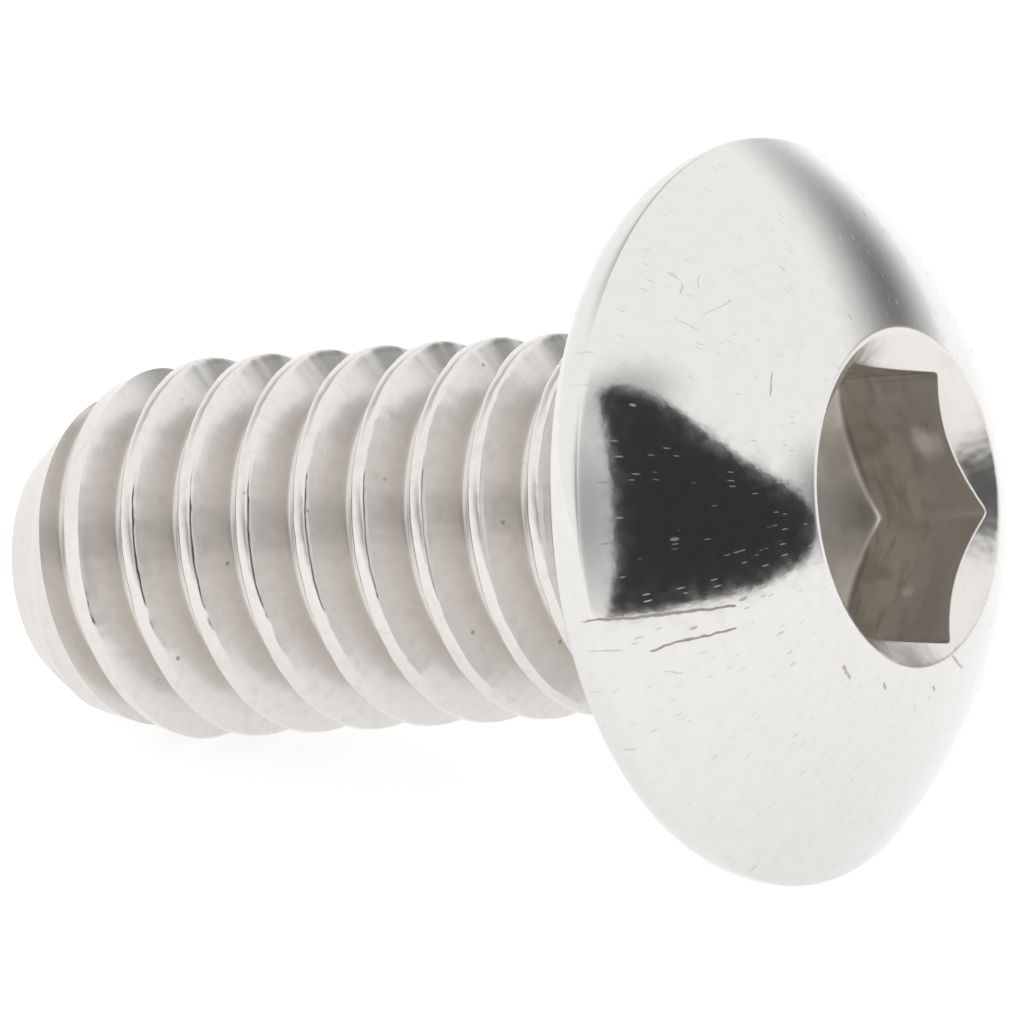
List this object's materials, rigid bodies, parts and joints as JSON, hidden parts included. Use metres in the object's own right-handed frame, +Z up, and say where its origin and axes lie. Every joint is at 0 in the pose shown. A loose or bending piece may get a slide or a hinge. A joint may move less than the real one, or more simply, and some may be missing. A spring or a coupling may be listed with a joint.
{
  "type": "button head screw",
  "caption": "Button head screw with a low domed head, a hexagonal drive socket, a full right-handed thread and a bevelled point.",
  "frame": {"origin": "on the surface that the screw lies on, under the middle of its bounding box", "axes": "+Z up, +X along the surface towards the head, +Y to the left of the screw as seen from its point"},
  "size_m": [0.0104, 0.0074, 0.0072],
  "materials": {
    "stainless_steel": "polished, with fine drawing marks and small pits"
  },
  "bodies": {
    "root": {"button_head_screw": "stainless_steel"}
  },
  "joints": []
}
